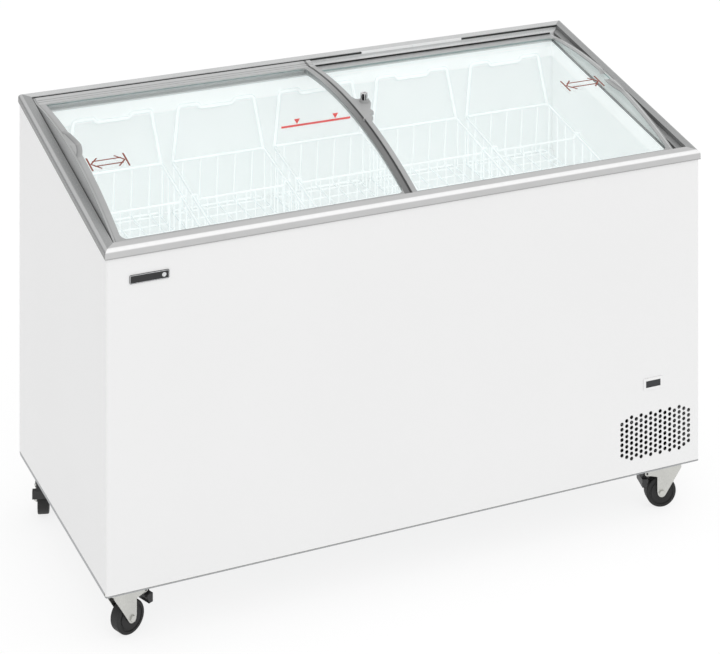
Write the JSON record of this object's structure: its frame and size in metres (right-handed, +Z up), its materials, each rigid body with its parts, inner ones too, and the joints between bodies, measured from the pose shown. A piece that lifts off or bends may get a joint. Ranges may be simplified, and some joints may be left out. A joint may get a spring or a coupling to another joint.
{
  "type": "chest freezer",
  "caption": "Sloped-top display chest freezer with sliding curved glass lids, wire baskets and braked swivel casters.",
  "frame": {"origin": "centre of the cabinet footprint, on the floor under the casters", "axes": "+X along the cabinet to the customer's right, +Y from the customer side to the rear, +Z up"},
  "size_m": [1.305, 0.626, 0.8648],
  "materials": {
    "shell_white": "satin baked paint",
    "pan_grey": "galvanised sheet",
    "foam": "rigid polyurethane foam",
    "liner_white": "smooth painted sheet",
    "rail_grey": "satin grey extruded profile",
    "lid_grey": "satin grey moulded profile",
    "seal_black": "matt",
    "insert_white": "gloss",
    "badge_silver": "satin silver",
    "bezel_light": "satin",
    "window_dark": "gloss",
    "sheet_steel": "galvanised sheet",
    "compressor_black": "semi-gloss",
    "fin_aluminium": "bare fins",
    "fan_black": "moulded",
    "box_grey": "moulded",
    "cord_black": "matt",
    "coil_tube": "copper tube",
    "tube_grey": "moulded",
    "lid_glass": "clear curved tempered glass",
    "lock_chrome": "polished",
    "wire_white": "powder coated wire",
    "zinc": "zinc plated",
    "tyre_black": "moulded",
    "pedal_black": "moulded"
  },
  "bodies": {
    "cabinet": {"outer_shell": "shell_white", "rear_panel": "shell_white", "base_pan": "pan_grey", "foam_core": "foam", "inner_liner": "liner_white", "breaker_collar": "liner_white", "rail_front": "rail_grey", "rail_rear": "rail_grey", "rail_left": "rail_grey", "rail_right": "rail_grey", "arch_end_cap": "lid_grey", "track_seals": "seal_black", "rear_insert": "insert_white", "badge_plate": "badge_silver", "display_bezel": "bezel_light", "display_window": "window_dark", "machine_partition": "sheet_steel", "compressor": "compressor_black", "condenser": "fin_aluminium", "fan_shroud": "fan_black", "control_box": "box_grey", "power_cord": "cord_black", "evaporator_coil": "coil_tube", "drain_tube": "tube_grey", "caster_bolts": "zinc", "caster_mount_front_left": "zinc", "caster_mount_front_right": "zinc", "caster_mount_rear_left": "zinc", "caster_mount_rear_right": "zinc"},
    "upper_lid": {"upper_lid_frame": "lid_grey", "upper_lid_glass": "lid_glass", "lock_housing": "lid_grey"},
    "lower_lid": {"lower_lid_frame": "lid_grey", "lower_lid_glass": "lid_glass"},
    "lock_barrel": {"lock_barrel": "lock_chrome"},
    "lock_plug": {"lock_plug": "lock_chrome"},
    "fan_rotor": {"fan_rotor": "fan_black"},
    "drain_plug": {"drain_plug": "tube_grey"},
    "basket_1": {"basket_1": "wire_white"},
    "divider_1": {"divider_1": "wire_white"},
    "basket_2": {"basket_2": "wire_white"},
    "divider_2": {"divider_2": "wire_white"},
    "basket_3": {"basket_3": "wire_white"},
    "divider_3": {"divider_3": "wire_white"},
    "basket_4": {"basket_4": "wire_white"},
    "divider_4": {"divider_4": "wire_white"},
    "basket_5": {"basket_5": "wire_white"},
    "divider_5": {"divider_5": "wire_white"},
    "fork_front_left": {"caster_fork_front_left": "zinc"},
    "wheel_front_left": {"caster_wheel_front_left": "tyre_black"},
    "pedal_front_left": {"brake_pedal_front_left": "pedal_black"},
    "fork_front_right": {"caster_fork_front_right": "zinc"},
    "wheel_front_right": {"caster_wheel_front_right": "tyre_black"},
    "pedal_front_right": {"brake_pedal_front_right": "pedal_black"},
    "fork_rear_left": {"caster_fork_rear_left": "zinc"},
    "wheel_rear_left": {"caster_wheel_rear_left": "tyre_black"},
    "pedal_rear_left": {"brake_pedal_rear_left": "pedal_black"},
    "fork_rear_right": {"caster_fork_rear_right": "zinc"},
    "wheel_rear_right": {"caster_wheel_rear_right": "tyre_black"},
    "pedal_rear_right": {"brake_pedal_rear_right": "pedal_black"}
  },
  "joints": [
    {"name": "upper_lid_slide", "type": "slide", "parent": "cabinet", "child": "upper_lid", "axis": [1, 0, 0], "range_m": [0, 0.605]},
    {"name": "lower_lid_slide", "type": "slide", "parent": "cabinet", "child": "lower_lid", "axis": [1, 0, 0], "range_m": [-0.604, 0]},
    {"name": "lock_push", "type": "slide", "parent": "upper_lid", "child": "lock_barrel", "axis": [0, 0, 1], "range_m": [-0.004, 0]},
    {"name": "lock_key_turn", "type": "hinge", "parent": "lock_barrel", "child": "lock_plug", "pos_m": [0.024, 0.024, 0.85523], "axis": [0, 0, 1], "range_deg": [0, 90]},
    {"name": "fan_spin", "type": "hinge", "parent": "cabinet", "child": "fan_rotor", "pos_m": [0.545, -0.131, 0.18], "axis": [0, 1, 0], "continuous": true},
    {"name": "drain_plug_pull", "type": "slide", "parent": "cabinet", "child": "drain_plug", "axis": [0, 0, 1], "range_m": [0, 0.03]},
    {"name": "basket_1_lift", "type": "slide", "parent": "cabinet", "child": "basket_1", "axis": [0, 0, 1], "range_m": [0, 0.02]},
    {"name": "divider_1_slide", "type": "slide", "parent": "basket_1", "child": "divider_1", "axis": [0, 0.9804, 0.1969], "range_m": [-0.06, 0.06]},
    {"name": "basket_2_lift", "type": "slide", "parent": "cabinet", "child": "basket_2", "axis": [0, 0, 1], "range_m": [0, 0.02]},
    {"name": "divider_2_slide", "type": "slide", "parent": "basket_2", "child": "divider_2", "axis": [0, 0.9804, 0.1969], "range_m": [-0.06, 0.06]},
    {"name": "basket_3_lift", "type": "slide", "parent": "cabinet", "child": "basket_3", "axis": [0, 0, 1], "range_m": [0, 0.02]},
    {"name": "divider_3_slide", "type": "slide", "parent": "basket_3", "child": "divider_3", "axis": [0, 0.9804, 0.1969], "range_m": [-0.06, 0.06]},
    {"name": "basket_4_lift", "type": "slide", "parent": "cabinet", "child": "basket_4", "axis": [0, 0, 1], "range_m": [0, 0.02]},
    {"name": "divider_4_slide", "type": "slide", "parent": "basket_4", "child": "divider_4", "axis": [0, 0.9804, 0.1969], "range_m": [-0.06, 0.06]},
    {"name": "basket_5_lift", "type": "slide", "parent": "cabinet", "child": "basket_5", "axis": [0, 0, 1], "range_m": [0, 0.02]},
    {"name": "divider_5_slide", "type": "slide", "parent": "basket_5", "child": "divider_5", "axis": [0, 0.9804, 0.1969], "range_m": [-0.06, 0.06]},
    {"name": "swivel_front_left", "type": "hinge", "parent": "cabinet", "child": "fork_front_left", "pos_m": [-0.617, -0.27, 0.09], "axis": [0, 0, 1], "continuous": true},
    {"name": "wheel_front_left_spin", "type": "hinge", "parent": "fork_front_left", "child": "wheel_front_left", "pos_m": [-0.59257, -0.26111, 0.0325], "axis": [-0.342, 0.9397, 0], "continuous": true},
    {"name": "pedal_front_left_tilt", "type": "hinge", "parent": "fork_front_left", "child": "pedal_front_left", "pos_m": [-0.5625, -0.25016, 0.075], "axis": [-0.342, 0.9397, 0], "range_deg": [0, 10]},
    {"name": "swivel_front_right", "type": "hinge", "parent": "cabinet", "child": "fork_front_right", "pos_m": [0.607, -0.27, 0.09], "axis": [0, 0, 1], "continuous": true},
    {"name": "wheel_front_right_spin", "type": "hinge", "parent": "fork_front_right", "child": "wheel_front_right", "pos_m": [0.58177, -0.26371, 0.0325], "axis": [-0.2419, -0.9703, 0], "continuous": true},
    {"name": "pedal_front_right_tilt", "type": "hinge", "parent": "fork_front_right", "child": "pedal_front_right", "pos_m": [0.55072, -0.25597, 0.075], "axis": [-0.2419, -0.9703, 0], "range_deg": [0, 10]},
    {"name": "swivel_rear_left", "type": "hinge", "parent": "cabinet", "child": "fork_rear_left", "pos_m": [-0.608, 0.268, 0.09], "axis": [0, 0, 1], "continuous": true},
    {"name": "wheel_rear_left_spin", "type": "hinge", "parent": "fork_rear_left", "child": "wheel_rear_left", "pos_m": [-0.61603, 0.24327, 0.0325], "axis": [0.9511, -0.309, 0], "continuous": true},
    {"name": "pedal_rear_left_tilt", "type": "hinge", "parent": "fork_rear_left", "child": "pedal_rear_left", "pos_m": [-0.62592, 0.21284, 0.075], "axis": [0.9511, -0.309, 0], "range_deg": [0, 10]},
    {"name": "swivel_rear_right", "type": "hinge", "parent": "cabinet", "child": "fork_rear_right", "pos_m": [0.608, 0.268, 0.09], "axis": [0, 0, 1], "continuous": true},
    {"name": "wheel_rear_right_spin", "type": "hinge", "parent": "fork_rear_right", "child": "wheel_rear_right", "pos_m": [0.58289, 0.26127, 0.0325], "axis": [0.2588, -0.9659, 0], "continuous": true},
    {"name": "pedal_rear_right_tilt", "type": "hinge", "parent": "fork_rear_right", "child": "pedal_rear_right", "pos_m": [0.55198, 0.25299, 0.075], "axis": [0.2588, -0.9659, 0], "range_deg": [0, 10]}
  ]
}
